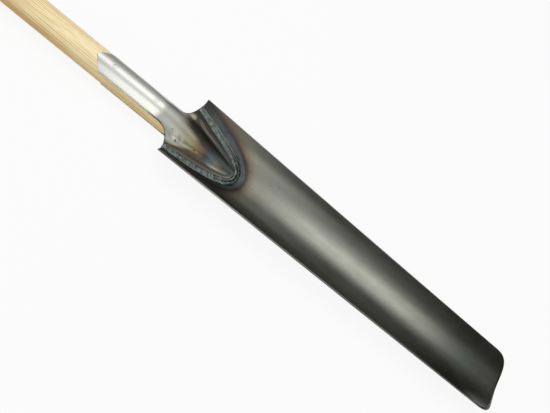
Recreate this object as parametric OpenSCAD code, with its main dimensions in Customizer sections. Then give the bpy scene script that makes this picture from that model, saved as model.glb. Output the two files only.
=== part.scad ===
// Trenching spade with a T-grip: a long trough blade held to an ash shaft by two riveted straps.
// Millimetres. The tool lies on its back: +X runs to the blade's tip, +Z up out of the hollow face.
// Each piece is modelled about the shaft's axis, with x = 0 at the blade's shoulders, and then moved
// so that the origin is under the middle of the whole tool, on the surface that it lies on.

/* [Shaft] */
// Diameter of the shaft
shaft_d = 36; // [30:0.5:42]
// From the blade's shoulders to the grip's axis
shaft_reach = 700; // [500:5:900]
// Diameter of the shaft where it meets the grip
shaft_neck_d = 26; // [22:0.5:30]
// Length of the taper under the grip
shaft_taper_length = 200; // [100:5:300]
// Diameter of the shaft's lower end, inside the throat
nose_d = 15; // [8:0.5:20]
// How far the shaft's lower end reaches past the blade's shoulders
nose_reach = 26; // [10:1:30]
// Diameter of the tenon in the grip
tenon_d = 20; // [14:0.5:22]

/* [Grip] */
// Length of the grip
grip_length = 131; // [100:1:160]
// Diameter of the grip at its middle
grip_d = 38.4; // [32:0.2:46]
// Diameter of the grip's flat ends, over their rounded rims
grip_end_d = 27; // [20:0.5:32]
// Rounding of the rims
grip_rim_r = 2; // [1:0.5:4]
// Length of the wedge in the tenon
wedge_length = 14; // [8:0.5:16]
// Thickness of the wedge at its outer end
wedge_t = 3; // [2:0.25:4]
// Thickness of the wedge at its inner end
wedge_point_t = 1; // [0.5:0.25:2]
// Diameter of the pin that locks the tenon
grip_pin_d = 4; // [3:0.5:6]
// Length of the pin
grip_pin_length = 28; // [22:0.5:32]

/* [Blade] */
// Length of the blade from its shoulders to its tip, on the centre line
blade_length = 517.5; // [350:0.5:600]
// Width of the blade at its shoulders
blade_top_w = 92.5; // [80:0.5:105]
// Width of the blade at its tip, before rounding
blade_tip_w = 78; // [60:0.5:95]
// Length of the rounded tip
tip_round_length = 31; // [10:1:45]
// Inner radius of the trough
trough_r = 58; // [54:0.5:80]
// Depth of the trough's floor below the shaft's axis
trough_drop = 4.5; // [2:0.25:8]
// Thickness of the blade's sheet
blade_t = 2; // [1.5:0.1:3]
// Length of the hollow shoulder curve above the blade's horns
shoulder_length = 27; // [18:1:40]
// Rounding where the back strap's bulge turns out into the trough
shoulder_r = 4; // [3:0.5:8]

/* [Back strap] */
// From the blade's shoulders to the back strap's point
back_strap_reach = 122; // [90:0.5:180]
// Half of the angle that the back strap wraps
back_wrap = 62; // [50:1:70]
// Where the back strap's bulge starts to fade, past the shoulders
heel_reach = 32; // [15:1:45]
// Where the back strap's bulge is gone, past the shoulders
back_fade_reach = 87; // [75:1:170]
// Radius of the bulge's last trace
back_fade_r = 6; // [3:0.5:10]

/* [Front strap] */
// From the blade's shoulders to the front strap's point
front_strap_reach = 126.5; // [95:0.5:185]
// Thickness of the front strap's sheet
front_t = 2; // [1.5:0.1:3]
// Half of the angle that the front strap wraps
front_wrap = 56; // [40:1:62]
// Length of a strap's pointed end
strap_point_length = 12; // [6:0.5:20]
// Width across the blunted point of a strap
strap_point_w = 4; // [2:0.5:8]
// How far the straps stand out of the wood
strap_stand = 0.7; // [0.3:0.1:1.2]

/* [Tongue] */
// Length of the tongue past the blade's shoulders
tongue_length = 85; // [60:1:110]
// Half of the tongue's width at the shoulders, along the trough
tongue_half_w = 38.5; // [34:0.5:40]
// How far the tongue's tip lies to the +Y side of the centre line
tongue_tip_offset = -4; // [-6:0.5:6]
// How far above the shoulders the bulge starts to fall
throat_reach = 8; // [4:0.5:12]
// Hollow rounding beside the bulge
valley_r = 8; // [5:0.5:10]
// Radius of the bulge's last trace at the tongue's tip
tongue_bulge_r = 6; // [3:0.5:9]

/* [Welds] */
// Width of the bead outside the tongue's edge
bead_toe_w = 5; // [3:0.25:6]
// Width of the bead on top of the tongue
bead_lap_w = 3.2; // [1:0.2:4]
// Height of the bead above the tongue
bead_crown = 1.2; // [0.6:0.1:2]

/* [Rivets] */
// Diameter of a rivet
rivet_d = 6; // [4:0.5:8]
// Diameter of a rivet's flush head
rivet_head_d = 10; // [8.5:0.5:13]
// Depth of a rivet's flush head
rivet_head_depth = 1.5; // [1:0.1:1.8]
// From the shoulders to the upper rivet
rivet_upper_reach = 102; // [85:1:106]
// From the shoulders to the lower rivet
rivet_lower_reach = 41; // [36:1:70]

/* [Hidden] */
$fn = 96;

// Gap between two sheets, or a sheet and the wood, that lie on each other
seat_gap = 0.1;
// Gap round a pin, rivet, tenon or wedge in its hole
hole_gap = 0.05;
// How far every cut runs past what it cuts
overrun = 5;

// Straps and trough
strap_r = shaft_d / 2 + strap_stand;
back_inner_r = strap_r - blade_t;
core_r = strap_r - max(blade_t, front_t) - seat_gap;
trough_z = trough_r - trough_drop;
wing_r = trough_r - seat_gap - front_t;
wing_floor_z = trough_z - wing_r;
rim_angle = asin(blade_top_w / 2 / trough_r);

// Whole tool
grip_r = grip_d / 2;
mid_x = (blade_length - shaft_reach - grip_r) / 2;
floor_drop = max(grip_r, strap_r);

// Rounding of the start of a bulge's fall, as a share of the shoulder curve
fall_ease_share = 0.5;
fall_ease = fall_ease_share * shoulder_length;
// Form of the tongue's edge: fullness of its sides and bluntness of its tip
tongue_side_power = 1.15;
tongue_tip_power = 2.2;
// Squareness of the blade's rounded tip: 2 for an ellipse, more for a flatter end
tip_power = 2.6;
// Where the blade's and the tongue's rounded ends are cut off so that their last edges keep a width
blade_blunt_share = 0.985;
tongue_blunt_share = 0.9995;
// Spacing of the points across a sheet: above 1 they are closer on the centre line
centre_power = 1.25;
// Share of the tongue's length where the side beads give way to the tip bead
tip_bead_share = 0.72;
// Height of the bead's shoulders as shares of its whole height, from the toe inwards
bead_rise_shares = [0.45, 0.82];
// Where those shoulders lie, as shares of the toe's width
bead_reach_shares = [0.8, 0.45];
// Where the bare wood ends beside the throat, as an angle of the shoulder curve's quarter round
strip_end_angle = 39;
// Most of the shaft's round that a seat may take on each side
seat_most_angle = 100;

// Steps along the sheets, and points across each half of them
across = 13;
point_steps = 4;
curve_steps = 8;
bulge_steps = 10;
tongue_steps = 16;
tip_steps = 12;
bead_steps = 22;
barrel_steps = 10;
rim_steps = 4;
taper_steps = 10;

// Moves a piece from the shaft's own axes to the tool's
module place() {
    translate([-mid_x, 0, floor_drop]) children();
}

// A round bar about the shaft's axis from x0 to x1
module bar(x0, x1, r) {
    translate([x0, 0, 0]) rotate([0, 90, 0]) cylinder(h = x1 - x0, r = r);
}

function arc_length(r, angle) = r * angle * PI / 180;
function arc_angle(r, length) = length / r * 180 / PI;

// 0 up to x0, 1 from x1 on, straight between them with a rounded start
function fall(x, x0, x1) =
    let (u = x - x0)
    let (run = u <= -fall_ease ? 0 : u < fall_ease ? pow(u + fall_ease, 2) / (4 * fall_ease) : u)
    min(1, run / (x1 - x0));

// How far the front sheet's top line has fallen at x
function front_drop(x) = (strap_r - wing_floor_z) * fall(x, -throat_reach, tongue_length);

// Height on the centre plane of a circle of reach a about height za that is also b from height zb
function meet_z(a, za, b, zb) = (a * a - b * b + zb * zb - za * za) / (2 * (zb - za));
function meet_y(a, za, z) = sqrt(max(0, a * a - pow(z - za, 2)));

// Front sheet's section at x: [bulge radius, its centre, valley centre y, z, crest angle, spread angle]
function front_section(x) =
    let (f = fall(x, -throat_reach, tongue_length))
    let (r = strap_r + (tongue_bulge_r - strap_r) * f)
    let (zc = strap_r - front_drop(x) - r)
    let (z = meet_z(r + valley_r, zc, wing_r - valley_r, trough_z))
    let (y = meet_y(r + valley_r, zc, z))
    [r, zc, y, z, atan2(y, z - zc), atan2(y, trough_z - z)];

// Back sheet's section at x, in the same order, with the rounded shoulder for the valley
function back_section(x) =
    let (f = fall(x, heel_reach, back_fade_reach))
    let (r = back_inner_r + (back_fade_r - back_inner_r) * f)
    let (zc = -back_inner_r + (back_inner_r - trough_drop) * f + r)
    let (z = meet_z(r + shoulder_r, zc, trough_r + shoulder_r, trough_z))
    let (y = meet_y(r + shoulder_r, zc, z))
    [r, zc, y, z, atan2(y, zc - z), atan2(y, trough_z - z)];

// Length of the front section from the centre line out to an angle on its wing
function front_length(s, angle) =
    arc_length(s[0], s[4]) + arc_length(valley_r, s[4] + s[5]) + arc_length(wing_r, angle - s[5]);
function back_length(s, angle) =
    arc_length(s[0], s[4]) + arc_length(shoulder_r, s[4] - s[5]) + arc_length(trough_r, angle - s[5]);

// Point [y, z, tilt of its upward normal towards +Y] at a length along the front section
function front_point(s, length) =
    let (a = arc_length(s[0], s[4]))
    let (b = a + arc_length(valley_r, s[4] + s[5]))
    let (bulge = arc_angle(s[0], length))
    let (valley = s[4] - arc_angle(valley_r, length - a))
    let (wing = s[5] + arc_angle(wing_r, length - b))
    length <= a ? [s[0] * sin(bulge), s[1] + s[0] * cos(bulge), bulge]
    : length <= b ? [s[2] - valley_r * sin(valley), s[3] - valley_r * cos(valley), valley]
    : [wing_r * sin(wing), trough_z - wing_r * cos(wing), -wing];

// The same along the back section's upper face
function back_point(s, length) =
    let (a = arc_length(s[0], s[4]))
    let (b = a + arc_length(shoulder_r, s[4] - s[5]))
    let (bulge = arc_angle(s[0], length))
    let (turn = arc_angle(shoulder_r, length - a) - s[4])
    let (wing = s[5] + arc_angle(trough_r, length - b))
    length <= a ? [s[0] * sin(bulge), s[1] - s[0] * cos(bulge), -bulge]
    : length <= b ? [s[2] + shoulder_r * sin(turn), s[3] + shoulder_r * cos(turn), turn]
    : [trough_r * sin(wing), trough_z - trough_r * cos(wing), -wing];

// A point of a section, mirrored to the -Y side where side is -1
function on_side(p, side) = [side * p[0], p[1], side * p[2]];

// Moves a section point down by t along its normal and puts it at x
function sheet_point(x, p, t) = [x, p[0] - t * sin(p[2]), p[1] - t * cos(p[2])];

// Eased shares from -1 to 1 across a sheet, with a flat face on the centre line for the tool to lie on
across_shares = [for (k = [1 - 2 * across:2:2 * across - 1])
    sign(k) * pow(abs(k) / (2 * across - 1), centre_power)];

// Strap's half width in plan, from its blunted point to its full width
function point_half_w(x, reach, full) =
    let (k = min(1, (x + reach) / strap_point_length))
    strap_point_w / 2 + (full - strap_point_w / 2) * k;

// Half width of the tongue along the trough, and its lean to one side
function tongue_share(x) = min(1, max(0, (x - wing_corner_x) / (tongue_length - wing_corner_x)));
function tongue_half(x) =
    tongue_half_w * pow(1 - pow(tongue_share(x), tongue_side_power), 1 / tongue_tip_power);
function tongue_lean(x) = tongue_tip_offset * tongue_share(x);

// Shoulder curve: x and the edge's length for an angle from 0, at the strap, to 90, at the horn
function shoulder_x(angle) = -shoulder_length * (1 - sin(angle));
function shoulder_edge(angle, strap_edge, horn_edge) = horn_edge - (horn_edge - strap_edge) * cos(angle);

front_strap_edge = arc_length(strap_r, front_wrap);
back_strap_edge = arc_length(back_inner_r, back_wrap);
wing_corner_angle = arc_angle(trough_r, tongue_half_w);
shoulder_section = front_section(0);
wing_corner_turn = acos(arc_length(wing_r, rim_angle - wing_corner_angle)
    / (front_length(shoulder_section, rim_angle) - front_strap_edge));
wing_corner_x = shoulder_x(wing_corner_turn);
strip_end_x = shoulder_x(strip_end_angle);

// Signed length along the front section that lies over a signed length along the trough
function wing_edge(s, arc) = sign(arc) * front_length(s, arc_angle(trough_r, abs(arc)));

// Stations of the front strap: [x, edge on the -Y side, edge on the +Y side] as signed lengths
front_stations = concat(
    [for (i = [0:point_steps]) let (x = -front_strap_reach + strap_point_length * i / point_steps)
        let (e = arc_length(strap_r,
            asin(point_half_w(x, front_strap_reach, strap_r * sin(front_wrap)) / strap_r)))
        [x, -e, e]],
    [for (i = [0:curve_steps]) let (angle = wing_corner_turn * i / curve_steps)
        let (x = shoulder_x(angle))
        let (e = shoulder_edge(angle, front_strap_edge, front_length(front_section(x), rim_angle)))
        [x, -e, e]],
    [for (i = [1:tongue_steps])
        let (k = sin(90 * i / tongue_steps) * tongue_blunt_share)
        let (x = wing_corner_x + (tongue_length - wing_corner_x) * k)
        let (s = front_section(x))
        [x, wing_edge(s, tongue_lean(x) - tongue_half(x)), wing_edge(s, tongue_lean(x) + tongue_half(x))]]);

function blade_half_w(x) = (blade_top_w + (blade_tip_w - blade_top_w) * x / blade_length) / 2;
function blade_edge(x, half_w) = back_length(back_section(x), asin(half_w / trough_r));
tip_x = blade_length - tip_round_length;

// Stations of the blade and its back strap: [x, edge length]
blade_stations = concat(
    [for (i = [0:point_steps]) let (x = -back_strap_reach + strap_point_length * i / point_steps)
        [x, arc_length(back_inner_r,
            asin(point_half_w(x, back_strap_reach, back_inner_r * sin(back_wrap)) / back_inner_r))]],
    [for (i = [0:curve_steps]) let (angle = 90 * i / curve_steps)
        let (x = shoulder_x(angle))
        [x, shoulder_edge(angle, back_strap_edge, blade_edge(x, blade_top_w / 2))]],
    [for (i = [1:bulge_steps]) let (x = back_fade_reach * i / bulge_steps)
        [x, blade_edge(x, blade_half_w(x))]],
    [for (i = [0:tip_steps]) let (angle = 90 * i / tip_steps * blade_blunt_share)
        let (x = tip_x + tip_round_length * pow(sin(angle), 2 / tip_power))
        [x, blade_edge(x, blade_half_w(x)) * pow(cos(angle), 2 / tip_power)]]);

// A sheet between two grids of points, rows along +X and columns along +Y, the first grid on top
module sheet(top, bottom) {
    rows = len(top);
    cols = len(top[0]);
    under = rows * cols;
    points = concat([for (row = top) each row], [for (row = bottom) each row]);
    skin = [for (i = [0:rows - 2], j = [0:cols - 2]) let (a = i * cols + j) let (b = a + cols)
        each [[a, a + 1, b + 1], [a, b + 1, b],
              [under + b + 1, under + a + 1, under + a], [under + b, under + b + 1, under + a]]];
    sides = [for (i = [0:rows - 2]) let (a = i * cols) let (b = a + cols) let (c = a + cols - 1)
        let (d = c + cols)
        each [[a, b, under + b], [a, under + b, under + a],
              [d, c, under + c], [d, under + c, under + d]]];
    ends = [for (j = [0:cols - 2]) let (a = (rows - 1) * cols + j)
        each [[j + 1, j, under + j], [j + 1, under + j, under + j + 1],
              [a, a + 1, under + a + 1], [a, under + a + 1, under + a]]];
    polyhedron(points = points, faces = concat(skin, sides, ends));
}

// A bar swept through rings of points that all run the same way round, closed at both ends
module swept(rings) {
    n = len(rings[0]);
    last = (len(rings) - 1) * n;
    walls = [for (i = [0:len(rings) - 2], j = [0:n - 1])
        let (a = i * n + j) let (b = i * n + (j + 1) % n)
        each [[a, b, b + n], [a, b + n, a + n]]];
    caps = [[for (j = [n - 1:-1:0]) j], [for (j = [0:n - 1]) last + j]];
    polyhedron(points = [for (ring = rings) each ring], faces = concat(walls, caps));
}

// The room round the shaft that a strap takes, down to core_r and less where the sheet falls
module strap_seat(stations, edge_r, falls) {
    used = [for (s = stations) if (s[0] <= wing_corner_x) s];
    angles = [for (s = used) min(seat_most_angle, arc_angle(edge_r, abs(s[1]) + seat_gap))];
    grid = function (radii) [for (i = [0:len(used) - 1]) [for (k = across_shares)
        [used[i][0], radii[i] * sin(angles[i] * k), radii[i] * cos(angles[i] * k)]]];
    sheet(grid([for (s = used) strap_r + overrun]),
        grid([for (s = used) core_r - (falls ? front_drop(s[0]) : 0)]));
}

// Rivet along Z with a flush head at each end, thicker all over by grow
module rivet_form(grow) {
    head_rise = overrun * (rivet_head_d - rivet_d) / 2 / rivet_head_depth;
    cylinder(h = 2 * (strap_r + overrun), r = rivet_d / 2 + grow, center = true);
    for (end = [0, 180]) {
        rotate([end, 0, 0]) translate([0, 0, strap_r - rivet_head_depth])
            cylinder(h = rivet_head_depth + overrun, r1 = rivet_d / 2 + grow,
                r2 = rivet_head_d / 2 + head_rise + grow);
    }
}

module rivet_holes() {
    for (reach = [rivet_upper_reach, rivet_lower_reach]) {
        translate([-reach, 0, 0]) rivet_form(hole_gap);
    }
}

module rivet(reach) {
    intersection() {
        translate([-reach, 0, 0]) rivet_form(0);
        bar(-reach - rivet_head_d, -reach + rivet_head_d, strap_r);
    }
}

// Half profile of the grip, turned about its own axis, larger all over by grow
module grip_profile(grow) {
    half = grip_length / 2;
    rim = grip_rim_r;
    end_r = grip_end_d / 2;
    corner = [for (i = [0:rim_steps]) let (a = 90 * i / rim_steps)
        [end_r - rim + rim * sin(a) + grow, half - rim + rim * cos(a)]];
    barrel = [for (i = [1:2 * barrel_steps - 1]) let (k = 1 - i / barrel_steps)
        [grip_r - (grip_r - end_r) * k * k + grow, k * (half - rim)]];
    far_corner = [for (i = [rim_steps:-1:0]) [corner[i][0], -corner[i][1]]];
    polygon(concat([[0, half]], corner, barrel, far_corner, [[0, -half]]));
}

module grip_form(grow) {
    translate([-shaft_reach, 0, 0]) rotate([90, 0, 0]) rotate_extrude() grip_profile(grow);
}

module tenon(grow) {
    bar(-shaft_reach - grip_r - overrun, -shaft_reach + grip_r + overrun, tenon_d / 2 + grow);
}

// Wedge in the tenon's end, wide along Z, thinner towards the shaft
module wedge_form(grow) {
    outer = shaft_reach + grip_r;
    linear_extrude(height = tenon_d + 2 * overrun, center = true)
        polygon([[-outer - overrun, -wedge_t / 2 - grow], [-outer - overrun, wedge_t / 2 + grow],
            [-outer, wedge_t / 2 + grow], [-outer + wedge_length + grow, wedge_point_t / 2 + grow],
            [-outer + wedge_length + grow, -wedge_point_t / 2 - grow], [-outer, -wedge_t / 2 - grow]]);
}

module grip_pin_form(grow) {
    translate([-shaft_reach, 0, -grip_r - overrun])
        cylinder(h = grip_pin_length + overrun + grow, r = grip_pin_d / 2 + grow);
}

// Half profile of the shaft along its axis, from its nose to the grip
module shaft_profile() {
    r = shaft_d / 2;
    neck_r = shaft_neck_d / 2;
    taper_x = -shaft_reach + shaft_taper_length;
    nose_root_r = core_r - front_drop(strip_end_x);
    taper = [for (i = [0:taper_steps]) let (k = i / taper_steps)
        [r - (r - neck_r) * k * k, taper_x - shaft_taper_length * k]];
    polygon(concat([[0, nose_reach], [nose_d / 2, nose_reach], [nose_root_r, strip_end_x], [r, strip_end_x]],
        taper, [[0, -shaft_reach]]));
}

// Outline of the bead across its run: [outward from the tongue's edge, height above the trough]
function bead_outline() =
    let (h = front_t + seat_gap + bead_crown)
    let (top = front_t + 2 * seat_gap)
    concat([[seat_gap, seat_gap], [bead_toe_w, seat_gap]],
        [for (i = [0:len(bead_rise_shares) - 1])
            [bead_toe_w * bead_reach_shares[i], h * bead_rise_shares[i]]],
        [[0, h], [-bead_lap_w, top + (h - top) / 2], [-bead_lap_w, top], [seat_gap, top]]);

// Point of the trough at x, a length along its arc and a height above it
function trough_point(x, arc, height) =
    let (angle = arc_angle(trough_r, arc))
    [x, (trough_r - height) * sin(angle), trough_z - (trough_r - height) * cos(angle)];

// Tongue's edge in the flattened trough [x, arc], for t from -1 at the -Y horn to 1 at the +Y horn
function tongue_edge(t) =
    let (x = wing_corner_x + (tongue_length - wing_corner_x) * cos(90 * t))
    [x, sign(t) * tongue_half(x) + tongue_lean(x)];

function unit(v) = v / norm(v);

// Ring of the bead at t, square to the tongue's edge
function bead_ring(t) =
    let (step = 1 / (2 * bead_steps))
    let (p = tongue_edge(t))
    let (d = unit(tongue_edge(min(1, t + step)) - tongue_edge(max(-1, t - step))))
    let (out = [-d[1], d[0]])
    [for (o = bead_outline()) trough_point(p[0] - out[0] * o[0], p[1] - out[1] * o[0], o[1])];

module bead(t0, t1, steps) {
    swept([for (i = [0:steps]) bead_ring(t0 + (t1 - t0) * i / steps)]);
}

tip_bead_t = acos(tip_bead_share) / 90;

module blade() {
    sections = [for (b = blade_stations) back_section(b[0])];
    grid = function (t) [for (i = [0:len(blade_stations) - 1]) [for (k = across_shares)
        sheet_point(blade_stations[i][0],
            on_side(back_point(sections[i], blade_stations[i][1] * abs(k)), sign(k)), t)]];
    color("dimgray") place() difference() {
        sheet(grid(0), grid(blade_t));
        rivet_holes();
    }
}

module front_strap() {
    sections = [for (f = front_stations) front_section(f[0])];
    grid = function (t) [for (i = [0:len(front_stations) - 1]) [for (k = across_shares)
        let (f = front_stations[i])
        let (length = (f[1] + f[2]) / 2 + k * (f[2] - f[1]) / 2)
        sheet_point(f[0], on_side(front_point(sections[i], abs(length)), sign(length)), t)]];
    color("silver") place() difference() {
        sheet(grid(0), grid(front_t));
        rivet_holes();
    }
}

module weld_left() {
    color("slategray") place() bead(-1, -tip_bead_t, bead_steps);
}

module weld_right() {
    color("slategray") place() bead(tip_bead_t, 1, bead_steps);
}

module weld_tip() {
    color("lightslategray") place() bead(-tip_bead_t, tip_bead_t, bead_steps);
}

module shaft() {
    color("burlywood") place() difference() {
        union() {
            difference() {
                rotate([0, 90, 0]) rotate_extrude() shaft_profile();
                grip_form(seat_gap);
            }
            intersection() {
                tenon(0);
                union() {
                    grip_form(0);
                    bar(-shaft_reach, -shaft_reach + 2 * grip_r, shaft_neck_d / 2);
                }
            }
        }
        strap_seat(front_stations, strap_r, true);
        mirror([0, 0, 1]) strap_seat(blade_stations, back_inner_r, false);
        rivet_holes();
        wedge_form(hole_gap);
        grip_pin_form(hole_gap);
    }
}

module grip() {
    color("wheat") place() difference() {
        grip_form(0);
        tenon(hole_gap);
        grip_pin_form(hole_gap);
    }
}

module tenon_wedge() {
    color("tan") place() intersection() {
        wedge_form(0);
        tenon(0);
        grip_form(0);
    }
}

module grip_pin() {
    color("gray") place() intersection() {
        grip_pin_form(0);
        grip_form(0);
    }
}

module rivet_upper() {
    color("gainsboro") place() rivet(rivet_upper_reach);
}

module rivet_lower() {
    color("gainsboro") place() rivet(rivet_lower_reach);
}

blade();
front_strap();
weld_left();
weld_right();
weld_tip();
shaft();
grip();
tenon_wedge();
grip_pin();
rivet_upper();
rivet_lower();
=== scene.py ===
"""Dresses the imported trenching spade: its steel sheets, weld beads and ash, and the studio round it.

The tool's own sizes are millimetres about the shaft's axis, with x = 0 at the blade's shoulders, +X to
the tip and +Z out of the hollow face. Datum moves them into the frame, which is in metres.
"""
import functools
import logging
import math
from dataclasses import dataclass
from enum import Enum

import bmesh
import bpy
import numpy as np
from mathutils import Matrix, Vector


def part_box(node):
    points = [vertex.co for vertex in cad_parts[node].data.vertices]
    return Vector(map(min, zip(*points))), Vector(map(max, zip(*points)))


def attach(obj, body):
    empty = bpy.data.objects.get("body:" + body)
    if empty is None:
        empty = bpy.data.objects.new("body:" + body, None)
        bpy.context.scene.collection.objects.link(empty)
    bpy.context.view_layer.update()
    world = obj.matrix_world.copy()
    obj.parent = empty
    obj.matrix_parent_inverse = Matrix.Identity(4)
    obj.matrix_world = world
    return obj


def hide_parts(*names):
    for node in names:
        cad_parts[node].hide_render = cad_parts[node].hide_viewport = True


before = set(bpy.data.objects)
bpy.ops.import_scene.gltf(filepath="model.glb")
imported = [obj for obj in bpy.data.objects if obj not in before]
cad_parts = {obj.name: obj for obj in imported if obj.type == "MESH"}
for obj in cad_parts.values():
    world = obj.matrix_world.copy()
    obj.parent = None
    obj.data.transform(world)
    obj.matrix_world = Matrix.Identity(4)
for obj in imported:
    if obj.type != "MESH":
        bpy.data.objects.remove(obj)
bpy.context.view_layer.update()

LOG = logging.getLogger("trenching_spade")
BODY = "root"
MM = 0.001
QUARTER = math.pi / 2
Array = np.ndarray
Pair = tuple[float, float]
Triple = tuple[float, float, float]
Colour = tuple[float, float, float]
Stops = tuple[tuple[float, Colour], ...]
Faces = list[tuple[int, ...]]
Shape = tuple[Array, Faces]
Material = bpy.types.Material
Socket = bpy.types.NodeSocket
Value = Socket | float | tuple[float, ...]
Key = int | str
Measures = dict[str, Socket]
# A noise is its name, scales, detail and roughness. A spot is a run, an arc and a radius.
Noises = tuple[tuple[str, Triple, float, float], ...]
Spots = tuple[tuple[str, tuple[Triple, ...]], ...]
# A band is a measure's name, two of its values and the shares there, which are 0 and 1 if not given.
Band = tuple[str | float, ...]
Coat = tuple[Value | Band, ...]


class Facing(Enum):
    """Which way a sheet's bulge goes: up over the wood, or down under it."""

    FRONT = 1
    BACK = -1


@dataclass(frozen=True)
class Sizes:
    """Driving sizes of the tool, in millimetres and degrees."""

    shaft_r: float = 18.0
    shaft_reach: float = 700.0
    shaft_neck_r: float = 13.0
    shaft_taper: float = 200.0
    nose_r: float = 7.5
    nose_reach: float = 26.0
    tenon_r: float = 10.0
    grip_length: float = 131.0
    grip_r: float = 19.2
    grip_end_r: float = 13.5
    grip_rim_r: float = 2.0
    blade_length: float = 517.5
    blade_top_w: float = 92.5
    blade_tip_w: float = 78.0
    tip_round: float = 31.0
    tip_power: float = 2.6
    trough_r: float = 58.0
    trough_drop: float = 4.5
    sheet_t: float = 2.0
    seat_gap: float = 0.1
    shoulder_length: float = 27.0
    shoulder_r: float = 4.0
    back_reach: float = 122.0
    back_wrap: float = 62.0
    heel_reach: float = 32.0
    back_fade: float = 87.0
    fade_r: float = 6.0
    front_reach: float = 126.5
    front_wrap: float = 56.0
    point_length: float = 12.0
    point_w: float = 4.0
    strap_stand: float = 0.7
    tongue_length: float = 85.0
    tongue_half_w: float = 38.5
    tongue_offset: float = -4.0
    throat_reach: float = 8.0
    valley_r: float = 8.0
    bead_toe: float = 5.0
    bead_lap: float = 3.2
    rivet_r: float = 3.0
    rivet_head_r: float = 5.0
    rivet_reaches: Pair = (102.0, 41.0)
    fall_ease_share: float = 0.5
    tongue_side_power: float = 1.15
    tongue_tip_power: float = 2.2
    tip_bead_share: float = 0.72
    strip_end_angle: float = 39.0

    @property
    def strap_r(self) -> float:
        """Outer radius of both straps."""
        return self.shaft_r + self.strap_stand

    @property
    def seat_r(self) -> float:
        """Inner radius of both straps."""
        return self.strap_r - self.sheet_t

    @property
    def trough_z(self) -> float:
        """Height of the trough's own axis above the shaft's."""
        return self.trough_r - self.trough_drop

    @property
    def wing_r(self) -> float:
        """Radius of the tongue's upper face where it lies on the trough."""
        return self.trough_r - self.seat_gap - self.sheet_t

    @property
    def lap_top(self) -> float:
        """Height of a bead's underside on the tongue, over the trough."""
        return self.sheet_t + 2 * self.seat_gap

    @property
    def tip_t(self) -> float:
        """Where the bead's tip pass ends on the tongue's edge, of 1 at the horn."""
        return math.acos(self.tip_bead_share) * 2 / math.pi

    @property
    def fall_ease(self) -> float:
        """Half length of the rounding where a bulge starts to fall."""
        return self.fall_ease_share * self.shoulder_length

    @property
    def rim_angle(self) -> float:
        """Angle of the blade's horns round the trough's axis, in radians."""
        return math.asin(self.blade_top_w / 2 / self.trough_r)

    def strap(self, facing: Facing) -> Triple:
        """Reach, half wrap in radians and edge radius of the strap on one face."""
        reach, wrap, edge_r = ((self.front_reach, self.front_wrap, self.strap_r) if facing is Facing.FRONT
                               else (self.back_reach, self.back_wrap, self.seat_r))
        return reach, math.radians(wrap), edge_r


SIZES = Sizes()


class Datum:
    """Moves points from the shaft's own axes, in millimetres, into the frame."""

    def __init__(self) -> None:
        """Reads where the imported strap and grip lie."""
        grip_low, grip_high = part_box("grip")
        strap_low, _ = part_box("front_strap")
        self.offset = np.array([strap_low.x + SIZES.front_reach * MM, 0.0, (grip_low.z + grip_high.z) / 2])

    def place(self, points: Array) -> Array:
        """Turns millimetres about the shaft's axis into metres in the frame."""
        return np.asarray(points, float) * MM + self.offset


DATUM = Datum()


def linear(red: int, green: int, blue: int) -> Colour:
    """Turns a colour written from 0 to 255 into the linear one that shaders take."""
    share = np.array((red, green, blue)) / 255
    return tuple(np.where(share <= 0.04045, share / 12.92, ((share + 0.055) / 1.055) ** 2.4).tolist())


def smooth_step(value: Array, low: float, high: float) -> Array:
    """Rises smoothly from 0 at low to 1 at high."""
    share = np.clip((value - low) / (high - low), 0.0, 1.0)
    return share * share * (3 - 2 * share)


def wander(values: Array, seed: int, octaves: int = 4) -> Array:
    """Gives a repeatable smooth noise along one axis.

    Args:
        values: Places along the axis, in steps of about one wave.
        seed: Chooses the waves.
        octaves: How many finer waves are added.

    Returns:
        Noise of about -1 to 1.
    """
    rng = np.random.default_rng(seed)
    total = np.zeros_like(np.asarray(values, float))
    for octave in range(octaves):
        rate = 2.0 ** octave * rng.uniform(0.8, 1.2)
        total += np.sin(values * rate * math.tau + rng.uniform(0, math.tau)) / 1.6 ** octave
    return total / 2


def fall(x: Array, start: float, end: float) -> Array:
    """How far a bulge has fallen at x: 0 before start, 1 from end on, straight with a rounded start."""
    run, ease, length = x - start, SIZES.fall_ease, end - start
    return np.minimum(1, np.where(run < ease, np.maximum(run + ease, 0) ** 2 / (4 * ease), run) / length)


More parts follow.
